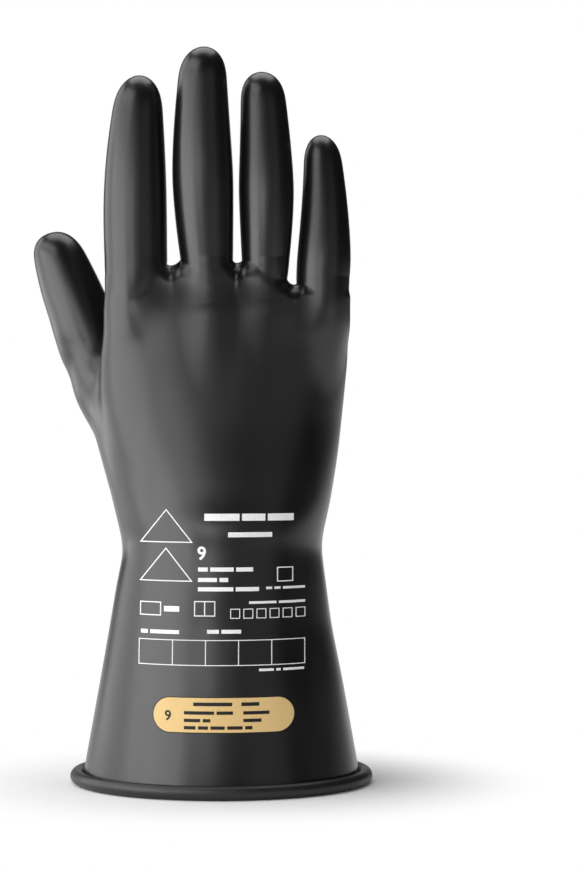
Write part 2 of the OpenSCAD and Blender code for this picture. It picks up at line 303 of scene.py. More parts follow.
def tube_r(stall, s):
    """Radius along a stall, without its dome."""
    dome_at = stall["length"] - stall["dome"] * stall["tip_r"]
    to_root = np.clip((stall["wide_at"] - s) / stall["wide_at"], 0, PAST_ROOT)
    to_tip = np.clip((s - stall["wide_at"]) / (dome_at - stall["wide_at"]), 0, PAST_DOME)
    low = stall["wide_r"] - (stall["wide_r"] - stall["root_r"]) * to_root ** CURVE
    eased = (np.sqrt(to_tip ** 2 + EASE ** 2) - EASE) / (math.hypot(1, EASE) - EASE)
    high = stall["wide_r"] - (stall["wide_r"] - stall["tip_r"]) * eased ** stall["taper"]
    return np.where(s < stall["wide_at"], low, high)


def stall_field(stall, x, y, z):
    u, v, s = local(stall, x, y, z)
    radius = tube_r(stall, s)
    square = stall["square"]
    dome = stall["dome"] * stall["tip_r"]
    over = np.maximum(0, s - (stall["length"] - dome)) / dome
    under = np.maximum(0, -s) / stall["run"]
    whole = (bent(stall, u, v, s) / radius) ** square + over ** stall["blunt"] + under ** square
    return radius * (whole ** (1 / square) - 1)


# %% [markdown]
# The thumb starts from a mound on the palm side. It is a loft again, from an oval at the
# heel of the hand to the thumb's own round root.

# %% The mound of the thumb
root_x, root_y, root_z = thumb["root"]
# height, middle x, middle y, half width, half depth
MOUND = np.array([
    [HAND_Z - 18, -14, 0, 18, 24],
    [HAND_Z + 6, -20.0, 6, 19.6, 23],
    [HAND_Z + 30, -31.5, 13, 17.8, 17.5],
    [root_z, root_x, root_y, thumb["root_r"] * 1.07, thumb["root_r"] * 1.01],
    [root_z + 10, root_x - 3.8, root_y + 1.3, 13.3, 12.6],
])
MOUND_CLOSES = 6  # the mound starts to close this far below the thumb's root
MOUND_ROUND = 14  # the height over which it closes


def mound_field(x, y, z):
    mid_x, mid_y, half_w, half_d = [np.interp(z, MOUND[:, 0], MOUND[:, k]) for k in range(1, 5)]
    over = np.maximum(0, (z - (root_z - MOUND_CLOSES)) / MOUND_ROUND)
    share = np.sqrt(((x - mid_x) / half_w) ** 2 + ((y - mid_y) / half_d) ** 2 + over ** 2)
    return np.minimum(half_w, half_d) * (share - 1)


# %% [markdown]
# All of it melts together. Fingers keep a fine gap above the webs, so the reach of
# the smooth minimum shrinks there.

# %% The whole skin
# middle, reach and height of each soft swelling or hollow
DENTS = [
    ((root_x - 9.5, 17, root_z - 4.5), (7, 14, 8), -1.7),  # the thumb leaves the palm in a slack curve
    ((root_x - 17, 22, root_z + 16), (7, 12, 9), -0.5),
    ((root_x - 21, 26, root_z + 44), (5, 9, 4.5), 1.1),  # outer corner of the thumb's blunt tip
    ((STALLS["index"]["root"][0] - 1, -18, WEB_Z - 30), (4.5, 12, 4.5), -0.4),  # below the index knuckle
]
for gap, drop in zip(GAPS_X, WEB_DROPS):
    DENTS.append(((gap + 0.8, -12, WEB_Z - 4.5 - drop), (0.9, 6, 4.5), 0.4))  # a small pleat under each web
PALM_REACH = 8  # the mound melts into the palm over this distance
PALM_REACH_LOST = 3  # and over this much less near the thumb's root
THUMB_REACH = 5.0
FINGER_REACH = 7.0  # the same for the fingers, low in the hand
REACH_LOST = (3.0, 3.2)  # and what is lost of it just below the webs, and at them


def skin_field(x, y, z):
    field = flat_field(x, y, z)
    palm_reach = PALM_REACH - PALM_REACH_LOST * smooth_step(z, HAND_Z + 35, HAND_Z + 75)
    field = smooth_min(field, mound_field(x, y, z), palm_reach)
    field = smooth_min(field, stall_field(thumb, x, y, z), THUMB_REACH)
    for dent in DENTS:
        field = field + bump(x, y, z, *dent)
    for name in FINGERS:
        stall = STALLS[name]
        web = stall["root"][2] - 2
        reach = FINGER_REACH - REACH_LOST[0] * smooth_step(z, web - 20, web - 6)
        reach = reach - REACH_LOST[1] * smooth_step(z, web - 4, web + 5)
        field = smooth_min(field, stall_field(stall, x, y, z), reach)
    return field


# %% [markdown]
# OpenVDB, which comes with Blender, turns a grid of field values into quads. They lie
# near the surface, so each corner is then walked along the field's slope until it is on it.
# The same slope gives the true normal, and the light then runs over the skin without a ripple.

# %% Mesh the skin
VOXEL = 1.1  # side of a grid cell, in mm
MARGIN = 4  # empty space round the CAD box, in mm


def field_slope(points, step=0.12):
    slope = np.empty_like(points)
    for axis in range(3):
        ahead, behind = points.copy(), points.copy()
        ahead[:, axis] += step
        behind[:, axis] -= step
        slope[:, axis] = (skin_field(*ahead.T) - skin_field(*behind.T)) / (2 * step)
    return slope


def walk_to_skin(points, walks=4):
    for walk in range(walks):
        slope = field_slope(points)
        points = points - (skin_field(*points.T) / (slope ** 2).sum(axis=1))[:, None] * slope
    return points


def mesh_skin():
    low = np.array(cad_box[0]) / MM - MARGIN
    high = np.array(cad_box[1]) / MM + MARGIN
    counts = np.ceil((high - low) / VOXEL).astype(int)
    x, y = np.meshgrid(*[low[k] + VOXEL * np.arange(counts[k]) for k in (0, 1)], indexing="ij")
    values = np.empty(tuple(counts), np.float32)
    for layer in range(counts[2]):
        z = np.full(x.size, low[2] + VOXEL * layer)
        values[:, :, layer] = skin_field(x.ravel(), y.ravel(), z).reshape(x.shape)
    grid = openvdb.FloatGrid(background=10.0)
    grid.copyFromArray(values)
    points, quads = grid.convertToQuads(isovalue=0.0)
    return walk_to_skin(low + VOXEL * points.astype(float)), quads


skin_points, skin_quads = mesh_skin()
print("skin:", len(skin_points), "points,", len(skin_quads), "quads, off the surface by",
      float(np.abs(skin_field(*skin_points.T)).max().round(4)), "mm")

# %% [markdown]
# The glove bends at the wrist and at the finger joints, and one mesh can bend between two
# bodies only. So the skin is parted into rings, one about each joint, whose two edges lie
# where that joint's bend ends.

# %% Where the skin is parted
WRIST_REACH = 26.0  # the bend at the wrist reaches this far to both sides
hinge_z = next(j for j in frame["joints"] if j["name"] == "wrist_flex")["pos_m"][2] / MM
# the skin is cut just outside the bend
WRIST_CUTS = (hinge_z - WRIST_REACH - 1, hinge_z + WRIST_REACH + 1)
SKIN_START = 0.4  # height at which the skin turns out into the rolled cuff
THUMB_LATE = 5  # the thumb's first bend is centred this far past its hinge
TIP_CLEAR = 8  # the thumb's last bend ends this far before its tip
FIRST_SHARE = 0.45  # a finger's first border, as a share of the way between its first two hinges
CLEAR = (0.2, 0.3, 0.5)  # how far a bend keeps off a border, in mm


def stall_rings(stall):
    """Rings of a stall: its parts, the bodies it bends between, where the bend runs, where it starts."""
    name, hinges, length = stall["name"], stall["hinges"], stall["length"]
    short, middling, wide = CLEAR
    if name == "thumb":
        middle = 0.5 * (hinges[0] + THUMB_LATE + hinges[1])
        tip = min(2 * hinges[1] - middle, length - TIP_CLEAR)
        return [("base", "hand", "thumb_base", (wide, middle - wide), 0.0),
                ("tip", "thumb_base", "thumb_tip", (middle + middling, tip), middle)]
    first = hinges[0] + FIRST_SHARE * (hinges[1] - hinges[0])
    second = 0.5 * (hinges[1] + hinges[2])
    last = 2 * hinges[2] - second
    bodies = ["hand"] + [f"{name}_{part}" for part in ("base", "middle", "tip")]
    return [("base", bodies[0], bodies[1], (short, first - short), 0.0),
            ("middle", bodies[1], bodies[2], (first + middling, second - short), first),
            ("tip", bodies[2], bodies[3], (second + short, last), second)]


RINGS = {name: stall_rings(stall) for name, stall in STALLS.items()}

# %% [markdown]
# The webs are the tightest curves of the glove, so their quads are cut finer first. Then the
# mesh is cut along the borders, and walked back onto the surface.

# %% Refine the webs and part the mesh
WEB_BOX = (6.5, 14, 9)  # half the size of the box round each web that is refined
WEB_Y = -4  # where the webs lie in depth
CUT_BAND = 3  # a cut reaches only the faces this near to it
SAME_POINT = 1e-4


def skin_to_bmesh():
    mesh = bpy.data.meshes.new("skin")
    mesh.from_pydata(skin_points.tolist(), [], skin_quads.tolist())
    work = bmesh.new()
    work.from_mesh(mesh)
    bpy.data.meshes.remove(mesh)
    return work


def face_middles(work):
    work.faces.ensure_lookup_table()
    return np.array([face.calc_center_median() for face in work.faces])


def refine(work, near):
    """Cut the faces that near() picks into four."""
    picked = np.flatnonzero(near(face_middles(work)))
    edges = list({edge for i in picked for edge in work.faces[i].edges})
    bmesh.ops.subdivide_edges(work, edges=edges, cuts=1, use_grid_fill=True)


def near_webs(reach):
    webs = np.array([[gap, WEB_Y, WEB_Z - drop] for gap, drop in zip(GAPS_X, WEB_DROPS)])

    def near(middles):
        far = np.abs(middles[:, None, :] - webs[None])
        return (far < np.array(reach)).all(axis=2).any(axis=1)
    return near


def own_faces(middles, stall, margin=3.0):
    """Which faces lie on this stall and on no other form."""
    u, v, s = local(stall, *middles.T)
    near = (bent(stall, u, v, s) < tube_r(stall, s) + margin) & (s > -margin)
    mine = stall_field(stall, *middles.T)
    others = [stall_field(other, *middles.T) for other in STALLS.values() if other is not stall]
    return near & (mine < np.min(others, axis=0)), s


def part(work, faces, at, along):
    """Cut the faces where they cross a plane."""
    geometry = {item for face in faces for item in (face, *face.edges, *face.verts)}
    bmesh.ops.bisect_plane(work, geom=list(geometry), plane_co=at, plane_no=along,
                           dist=SAME_POINT)


work = skin_to_bmesh()
refine(work, near_webs(WEB_BOX))
middles = face_middles(work)
cuts = []
for height in (SKIN_START, *WRIST_CUTS):
    picked = np.flatnonzero(np.abs(middles[:, 2] - height) < CUT_BAND)
    cuts.append(([work.faces[i] for i in picked], (0, 0, height), (0, 0, 1)))
for name, stall in STALLS.items():
    owned, s = own_faces(middles, stall)
    for *_, start in RINGS[name]:
        picked = np.flatnonzero(owned & (np.abs(s - start) < CUT_BAND))
        at = stall["root"] + start * stall["axes"][2]
        cuts.append(([work.faces[i] for i in picked], at, stall["axes"][2]))
for faces, at, along in cuts:
    part(work, faces, at, along)
work.verts.index_update()
skin_points = walk_to_skin(np.array([vert.co for vert in work.verts]), 3)
skin_faces = [[vert.index for vert in face.verts] for face in work.faces]
middles = face_middles(work)
work.free()
slope = field_slope(skin_points)
skin_normals = slope / np.linalg.norm(slope, axis=1)[:, None]
print("parted skin:", len(skin_points), "points,", len(skin_faces), "faces")

# %% [markdown]
# Each ring becomes a closed shell: the outer face, an inner face one wall deeper, and narrow
# rims that join the two. The normals come from the field, so the joins between
# rings can't be seen.

# %% Shells
WALL = 0.5  # in mm


def closed_shell(name, points, normals, faces, above, below):
    """A closed shell between two offsets of a surface, in mm along its normals."""
    count = len(points)
    outer = [list(face) for face in faces]
    inner = [[i + count for i in reversed(face)] for face in outer]
    edges = {(a, b) for face in outer for a, b in zip(face, face[1:] + face[:1])}
    rims = [(b, a, a + count, b + count) for a, b in sorted(edges) if (b, a) not in edges]
    both = np.concatenate([points + above * normals, points - below * normals])
    mesh = bpy.data.meshes.new(name)
    mesh.from_pydata((both * MM).tolist(), [], outer + inner + rims)
    mesh.polygons.foreach_set("use_smooth", np.ones(len(mesh.polygons), bool))
    turned = np.concatenate([normals, -normals])
    corner_normals = turned[np.array([i for face in outer + inner for i in face])].tolist()
    for polygon in mesh.polygons[len(outer) + len(inner):]:
        corner_normals += [tuple(polygon.normal)] * 4
    mesh.normals_split_custom_set(corner_normals)
    piece = bpy.data.objects.new(name, mesh)
    bpy.context.scene.collection.objects.link(piece)
    return piece


def skin_ring(name, picked):
    """The shell of the picked faces of the skin."""
    faces = [skin_faces[i] for i in picked]
    used = np.unique(np.concatenate([np.array(face) for face in faces]))
    new = {old: i for i, old in enumerate(used.tolist())}
    faces = [[new[i] for i in face] for face in faces]
    piece = closed_shell(name, skin_points[used], skin_normals[used], faces, 0.0, WALL)
    return piece


owner = np.full(len(middles), "hand", object)
owner[middles[:, 2] < WRIST_CUTS[1]] = "wrist"
owner[middles[:, 2] < WRIST_CUTS[0]] = "gauntlet"
owner[middles[:, 2] < SKIN_START] = ""
for name, stall in STALLS.items():
    owned, s = own_faces(middles, stall)
    for part_name, *_, start in RINGS[name]:
        owner[owned & (s > start)] = f"{name}_{part_name}"

skins = {}
for name in sorted(set(owner) - {""}):
    skins[name] = skin_ring(f"{name}_skin", np.flatnonzero(owner == name))
print("pieces of skin:", {name: len(piece.data.polygons) for name, piece in skins.items()})

# %% [markdown]
# The gauntlet and the palm ride on one body each. Every other ring is baked in place, and
# stands for the CAD nodes of its stretch, which are hidden.

# %% Put the shells on their bodies, or bake them in place
def at_height(z):
    return (0, 0, z * MM)


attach(skins["gauntlet"], "gauntlet")
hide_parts("gauntlet")
wrist_bend = dict(start=at_height(hinge_z - WRIST_REACH), end=at_height(hinge_z + WRIST_REACH))
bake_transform(skins["wrist"])
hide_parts("wrist_bend")
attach(skins["hand"], "hand")
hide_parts("hand")
for name, stall in STALLS.items():
    for part_name, below, above, (start, end), _ in RINGS[name]:
        piece = skins[f"{name}_{part_name}"]
        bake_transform(piece)
        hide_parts(f"{name}_{part_name}_bend", f"{name}_{part_name}_segment")

# %% [markdown]
# ## Finishes
# Dipped rubber is black all through, with a satin skin: the light on it is soft but clear. Close up
# the skin isn't even. It carries faint runs from the dipping, a slow waviness, and a fine grain
# from the powder that keeps it from sticking. Those come from noise on the Object coordinates, which
# stays in place when the camera or a finger moves. The plain values sit on the shader itself.

# %% Helpers for finishes
def add_node(tree, kind, inputs=None, **settings):
    """A node with its settings, and with values or links on its inputs."""
    node = tree.nodes.new(kind)
    for key, value in settings.items():
        setattr(node, key, value)
    for key, value in (inputs or {}).items():
        if isinstance(value, bpy.types.NodeSocket):
            tree.links.new(value, node.inputs[key])
        else:
            node.inputs[key].default_value = value
    return node


def math_node(tree, operation, *values):
    """The result of one sum on values or links."""
    return add_node(tree, "ShaderNodeMath", dict(enumerate(values)), operation=operation).outputs[0]


def new_finish(name, colour, roughness, specular=0.5):
    """A material with its tree and its shader."""
    finish = bpy.data.materials.new(name)
    finish.use_nodes = True
    shader = finish.node_tree.nodes["Principled BSDF"]
    shader.inputs["Base Color"].default_value = (*colour, 1)
    shader.inputs["Roughness"].default_value = roughness
    shader.inputs["Specular IOR Level"].default_value = specular
    return finish, finish.node_tree, shader


def noise(tree, scale, detail=2.0, stretch=(1, 1, 1)):
    """Noise on Object coordinates; a stretch below 1 draws it out along that axis."""
    place = add_node(tree, "ShaderNodeTexCoord")
    sized = add_node(tree, "ShaderNodeMapping", {"Vector": place.outputs["Object"], "Scale": stretch})
    inputs = {"Vector": sized.outputs[0], "Scale": scale, "Detail": detail}
    return add_node(tree, "ShaderNodeTexNoise", inputs).outputs[0]


def spread(tree, value, low, high, start=0.3, end=0.7):
    """The value, mapped from start..end to low..high."""
    ranged = add_node(tree, "ShaderNodeMapRange", {"Value": value, "From Min": start, "From Max": end,
                                                   "To Min": low, "To Max": high})
    return ranged.outputs[0]


def two_tones(tree, value, low, high):
    """A colour between two, from a value of 0 to 1."""
    mix = add_node(tree, "ShaderNodeMix", {0: value}, data_type="RGBA")
    for key, colour in (("A_Color", low), ("B_Color", high)):
        next(i for i in mix.inputs if i.identifier == key).default_value = (*colour, 1)
    return next(o for o in mix.outputs if o.identifier == "Result_Color")


def add_bumps(tree, shader, layers):
    """Bumps on bumps, from (height, distance in m) pairs."""
    normal = None
    for height, distance in layers:
        inputs = {"Height": height, "Distance": distance, "Strength": 1.0}
        if normal:
            inputs["Normal"] = normal
        normal = add_node(tree, "ShaderNodeBump", inputs).outputs[0]
    tree.links.new(normal, shader.inputs["Normal"])


# %% Satin rubber
def make_satin_rubber():
    finish, tree, shader = new_finish("satin_rubber", (0.004, 0.004, 0.0042), 0.3, 0.62)
    bloom = spread(tree, noise(tree, 26.0, 3.0, (1, 1, 0.4)), 0.0, 1.0)
    tree.links.new(two_tones(tree, bloom, (0.0032, 0.0032, 0.0034), (0.0052, 0.0052, 0.0054)),
                   shader.inputs["Base Color"])
    runs = noise(tree, 160.0, 2.0, (1, 1, 0.12))
    tree.links.new(spread(tree, runs, 0.275, 0.325), shader.inputs["Roughness"])
    waves = noise(tree, 45.0, 1.0, (1, 1, 0.6))
    grain = noise(tree, 2600.0, 1.0)
    add_bumps(tree, shader, [(waves, 0.00022), (runs, 0.00003), (grain, 0.000012)])
    return finish


satin_rubber = make_satin_rubber()
for piece in skins.values():
    piece.data.materials.append(satin_rubber)
print("rubber on", len(skins), "pieces")

# %% [markdown]
# The roll has no satin skin. It is many layers of rubber wound on each other, and their edges
# show as fine lines round it.

# %% Rolled rubber
def make_rolled_rubber():
    """Duller than the skin, with fine lines round the roll from the layers rolled into it."""
    finish, tree, shader = new_finish("rolled_rubber", (0.0042, 0.0042, 0.0044), 0.44, 0.62)
    place = add_node(tree, "ShaderNodeTexCoord")
    parts = add_node(tree, "ShaderNodeSeparateXYZ", {0: place.outputs["Object"]})
    flat = add_node(tree, "ShaderNodeCombineXYZ", {0: parts.outputs[0], 1: parts.outputs[1]})
    out = add_node(tree, "ShaderNodeVectorMath", {0: flat.outputs[0]}, operation="LENGTH")
    across = add_node(tree, "ShaderNodeCombineXYZ", {0: out.outputs["Value"], 1: parts.outputs[2]})
    inputs = {"Vector": across.outputs[0], "Scale": 900.0, "Detail": 2.0}
    lines = add_node(tree, "ShaderNodeTexNoise", inputs).outputs[0]
    slow = noise(tree, 60.0, 2.0)
    tree.links.new(spread(tree, slow, 0.40, 0.50), shader.inputs["Roughness"])
    share = spread(tree, lines, 0.0, 1.0)
    tones = two_tones(tree, share, (0.0034, 0.0034, 0.0036), (0.0056, 0.0056, 0.0058))
    tree.links.new(tones, shader.inputs["Base Color"])
    add_bumps(tree, shader, [(slow, 0.0003), (lines, 0.00006)])
    return finish


rolled_rubber = make_rolled_rubber()
print("finishes:", satin_rubber.name, "and", rolled_rubber.name)

# %% [markdown]
# The open end of the skin is rolled outwards on itself into a bead, which keeps the edge from
# tearing. One oval profile follows one ring, so it is made with Geometry Nodes: the ring
# wanders a little and the roll is a little thicker here and thinner there, as rolled rubber is.

# %% Helpers for Geometry Nodes
def new_tree(name, sockets):
    """A Geometry Nodes tree with the given inputs."""
    tree = bpy.data.node_groups.new(name, "GeometryNodeTree")
    tree.interface.new_socket("Geometry", in_out="OUTPUT", socket_type="NodeSocketGeometry")
    for title, kind in sockets:
        tree.interface.new_socket(title, in_out="INPUT", socket_type="NodeSocket" + kind)
    return tree


def run_tree(name, tree, values):
    """Evaluate the tree once and keep its result as a plain mesh."""
    piece = bpy.data.objects.new(name, bpy.data.meshes.new(name + "_seed"))
    bpy.context.scene.collection.objects.link(piece)
    modifier = piece.modifiers.new("made_by_rule", "NODES")
    modifier.node_group = tree
    for item in tree.interface.items_tree:
        if item.in_out == "INPUT":
            modifier[item.identifier] = values[item.name]
    graph = bpy.context.evaluated_depsgraph_get()
    result = bpy.data.meshes.new_from_object(piece.evaluated_get(graph), depsgraph=graph)
    piece.modifiers.clear()
    piece.data = result
    result.name = name
    return piece


# %% The rolled cuff
RING_STEPS = 240
PROFILE_STEPS = 40


def cuff_tree():
    """A ring that wanders and swells slowly, swept with an oval."""
    tree = new_tree("roll_the_cuff", [("Ring Radius", "Float"), ("Half Width", "Float"),
                                      ("Half Height", "Float"), ("Wander", "Float"),
                                      ("Swell", "Float"), ("Rubber", "Material")])
    given = tree.nodes.new("NodeGroupInput").outputs

    def add(kind, inputs=None, **settings):
        return add_node(tree, kind, inputs, **settings).outputs[0]

    circle = "GeometryNodeCurvePrimitiveCircle"
    ring = add(circle, {"Resolution": RING_STEPS, "Radius": given["Ring Radius"]})
    place = add("GeometryNodeInputPosition")
    slow = add("ShaderNodeTexNoise", {"Vector": place, "Scale": 22.0, "Detail": 1.0})
    centred = math_node(tree, "SUBTRACT", slow, 0.5)
    away = add("ShaderNodeVectorMath", {0: place}, operation="NORMALIZE")
    amount = math_node(tree, "MULTIPLY", centred, given["Wander"])
    shift = add("ShaderNodeVectorMath", {0: away, "Scale": amount}, operation="SCALE")
    moved = add("GeometryNodeSetPosition", {"Geometry": ring, "Offset": shift})
    swell = math_node(tree, "MULTIPLY_ADD", centred, given["Swell"], 1.0)
    sized = add("GeometryNodeSetCurveRadius", {"Curve": moved, "Radius": swell})
    oval = add(circle, {"Resolution": PROFILE_STEPS, "Radius": 1.0})
    flat = add("ShaderNodeCombineXYZ", {0: given["Half Width"], 1: given["Half Height"], 2: 1.0})
    profile = add("GeometryNodeTransform", {"Geometry": oval, "Scale": flat})
    swept = add("GeometryNodeCurveToMesh", {"Curve": sized, "Profile Curve": profile, "Scale": swell})
    smooth = add("GeometryNodeSetShadeSmooth", {"Geometry": swept})
    real = add("GeometryNodeRealizeInstances", {"Geometry": smooth})
    coated = add("GeometryNodeSetMaterial", {"Geometry": real, "Material": given["Rubber"]})
    end = tree.nodes.new("NodeGroupOutput")
    tree.links.new(coated, end.inputs[0])
    return tree


cuff_points = node_points("rolled_cuff")
cuff_out = np.hypot(cuff_points[:, 0], cuff_points[:, 1])
ROLL_INNER = CUFF_R + 0.6  # a dark crevice stays between the roll and the skin
roll_width = (cuff_out.max() - ROLL_INNER) / 2
roll_height = cuff_points[cuff_out > ROLL_INNER, 2].max() / 2
# radius of the ring, half width and half height of the roll, wander in mm, swell as a share
rolls = {
    "rolled_cuff_skin": (ROLL_INNER + roll_width, roll_width, roll_height * 0.985, 0.5, 0.06),
    "cuff_fold_skin": (CUFF_R + 0.9, 1.4, 0.3, 0.0, 0.0),  # where the skin turns out into the roll
}
for name, (ring_r, half_width, half_height, wander, swell) in rolls.items():
    roll = run_tree(name, cuff_tree(), {
        "Ring Radius": ring_r * MM, "Half Width": half_width * MM, "Half Height": half_height * MM,
        "Wander": wander * MM, "Swell": swell, "Rubber": rolled_rubber})
    places = np.array([vert.co for vert in roll.data.vertices])
    roll.data.transform(Matrix.Translation((0, 0, -places[:, 2].min())))
    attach(roll, "gauntlet")
    print(name, "mm:", (np.ptp(places, axis=0) / MM).round(2))
    if name == "rolled_cuff_skin":
        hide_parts("rolled_cuff")

# %% [markdown]
# The class label and the marks are ink, printed on the back of the glove. Each is drawn
# flat, in width and height, and laid on the skin from the front. A thin closed film
# is then raised from there.

# %% Lay flat art on the skin
BEFORE_SKIN = -75.0  # a depth that is outside the skin everywhere, in mm
HALVINGS = 40
ART_STEP = 1.2  # longest step along a drawn line, in mm
DASH_GAP = 0.9
SHORTEST_DASH = 0.8


def front_of_skin(x, z):
    """The depth at which the skin is first met, coming from the back of the hand."""
    outside, inside = np.full(len(x), BEFORE_SKIN), np.zeros(len(x))
    for halving in range(HALVINGS):
        middle = (outside + inside) / 2
        hit = skin_field(x, middle, z) < 0
        inside = np.where(hit, middle, inside)
        outside = np.where(hit, outside, middle)
    return (outside + inside) / 2


def film(name, art, above, below, body_or_bend, material):
    """A thin film of ink from flat art, which is a list of (points, faces) in mm."""
    points, faces = [], []
    for shape_points, shape_faces in art:
        faces += [[i + len(points) for i in face] for face in shape_faces]
        points += shape_points
    flat = np.array(points)
    on_skin = np.column_stack([flat[:, 0], front_of_skin(flat[:, 0], flat[:, 1]), flat[:, 1]])
    normals = field_slope(on_skin)
    normals /= np.linalg.norm(normals, axis=1)[:, None]
    piece = closed_shell(name, on_skin, normals, faces, above, below)
    piece.data.materials.append(material)
    if body_or_bend == "gauntlet":
        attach(piece, "gauntlet")
    else:
        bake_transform(piece)
    return piece


def grid(x_values, rows):
    """Faces between rows of points, first row lowest, seen from the front."""
    points = [(x, row[i]) for row in rows for i, x in enumerate(x_values)]
    n = len(x_values)
    faces = [[j * n + i, j * n + i + 1, (j + 1) * n + i + 1, (j + 1) * n + i]
             for j in range(len(rows) - 1) for i in range(n - 1)]
    return points, faces


def bar(x0, x1, z, height):
    """A plain upright rectangle about the height z."""
    xs = np.linspace(x0, x1, max(2, int((x1 - x0) / ART_STEP) + 2))
    return grid(xs.tolist(), [[z - height / 2] * len(xs), [z + height / 2] * len(xs)])


def dashes(x0, x1, z, height, lengths):
    """A row of plain dashes that fills x0 to x1."""
    art, x, turn = [], x0, 0
    while x < x1 - SHORTEST_DASH:
        end = min(x + lengths[turn % len(lengths)], x1)
        art.append(bar(x, end, z, height))
        x, turn = end + DASH_GAP, turn + 1
    return art


def closed_line(corners, width, step=ART_STEP):
    """A mitred outline of the given width around the corners, which run anticlockwise."""
    corners = np.array(corners, float)
    ahead = np.roll(corners, -1, axis=0) - corners
    ahead /= np.linalg.norm(ahead, axis=1)[:, None]
    inward = np.column_stack([-ahead[:, 1], ahead[:, 0]])
    before = np.roll(inward, 1, axis=0)
    mitre = (inward + before) / (1 + (inward * before).sum(axis=1))[:, None]
    rings = (corners, corners + width * mitre)
    points = []
    for a in range(len(corners)):
        b = (a + 1) % len(corners)
        count = max(1, int(np.linalg.norm(corners[b] - corners[a]) / step))
        for share in np.arange(count) / count:
            points += [tuple(ring[a] + share * (ring[b] - ring[a])) for ring in rings]
    n = len(points) // 2
    return points, [[2 * i, 2 * ((i + 1) % n), 2 * ((i + 1) % n) + 1, 2 * i + 1] for i in range(n)]


def box(x0, x1, z0, z1, width):
    """The outline of a rectangle."""
    return closed_line([(x0, z0), (x1, z0), (x1, z1), (x0, z1)], width)


CAP_TURN = np.radians(np.linspace(3, 90, 15))  # steps round a quarter of a round end
CAPSULE_STRAIGHT = 32  # points between the two ends
CAPSULE_ROWS = 9


def capsule(x0, x1, z0, z1):
    """A patch with round ends."""
    radius, z = (z1 - z0) / 2, (z0 + z1) / 2
    left = x0 + radius * (1 - np.cos(CAP_TURN))
    right = (x1 + x0 - left)[::-1]
    straight = np.linspace(left[-1], right[0], CAPSULE_STRAIGHT + 2)[1:-1]
    xs = np.concatenate([left, straight, right])
    rise = radius * np.sin(CAP_TURN)
    half = np.concatenate([rise, np.full(CAPSULE_STRAIGHT, radius), rise[::-1]])
    return grid(xs.tolist(), [(z + half * share).tolist() for share in np.linspace(-1, 1, CAPSULE_ROWS)])


STROKE = 0.022  # how much bolder a numeral is than the built-in letters, as a share of their size


def numeral(text, x, z, height):
    """A plain numeral whose middle is at x, z."""
    curve = bpy.data.curves.new("numeral", "FONT")
    curve.body = text
    curve.offset = STROKE
    writer = bpy.data.objects.new("numeral", curve)
    bpy.context.scene.collection.objects.link(writer)
    graph = bpy.context.evaluated_depsgraph_get()
    mesh = bpy.data.meshes.new_from_object(writer.evaluated_get(graph), depsgraph=graph)
    bpy.data.objects.remove(writer)
    flat = np.array([vert.co[:2] for vert in mesh.vertices])
    low, high = flat.min(axis=0), flat.max(axis=0)
    flat = (flat - (low + high) / 2) * height / (high[1] - low[1]) + (x, z)
    faces = [list(polygon.vertices) for polygon in mesh.polygons]
    bpy.data.meshes.remove(mesh)
    return [tuple(point) for point in flat.tolist()], faces


# %% [markdown]
# Printed ink on rubber isn't paint on a wall: it is a thin, slightly rubbed film. Its tone wavers
# a little and its sheen is broken by the grain below it.

# %% Inks
def ink(name, colour, worn, roughness):
    """A film of ink that goes from its colour to a worn tone, in fine specks and slow clouds."""
    finish, tree, shader = new_finish(name, colour, roughness, 0.3)
    specks = noise(tree, 1400.0, 2.0)
    clouds = noise(tree, 70.0, 2.0)
    both = add_node(tree, "ShaderNodeMath", {0: specks, 1: clouds}, operation="MULTIPLY")
    tree.links.new(two_tones(tree, spread(tree, both.outputs[0], 0.0, 1.0, 0.24, 0.42), colour, worn),
                   shader.inputs["Base Color"])
    tree.links.new(spread(tree, clouds, roughness - 0.06, roughness + 0.06), shader.inputs["Roughness"])
    add_bumps(tree, shader, [(specks, 0.00001)])
    return finish


beige_ink = ink("beige_ink", (0.73, 0.51, 0.22), (0.66, 0.45, 0.19), 0.55)
dark_ink = ink("dark_ink", (0.010, 0.009, 0.008), (0.020, 0.017, 0.013), 0.55)
white_ink = ink("white_ink", (0.86, 0.86, 0.86), (0.72, 0.72, 0.72), 0.55)

# %% [markdown]
# The class label is three films on each other: a dark one, a beige one that is a little
# smaller, so that the dark one frames it, and the dark marks.

# %% The class label
label_low, label_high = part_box("class_label")
LABEL = (label_low.x / MM, label_high.x / MM, label_low.z / MM, label_high.z / MM)
EDGE = 0.35  # width of the label's dark line
film("label_edge", [capsule(*LABEL)], 0.05, 0.05, "gauntlet", dark_ink)
inside = (LABEL[0] + EDGE, LABEL[1] - EDGE, LABEL[2] + EDGE, LABEL[3] - EDGE)
label = film("label_field", [capsule(*inside)], 0.08, 0.02, "gauntlet", beige_ink)
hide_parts("class_label")
label_x = (LABEL[0] + LABEL[1]) / 2
label_z = (LABEL[2] + LABEL[3]) / 2
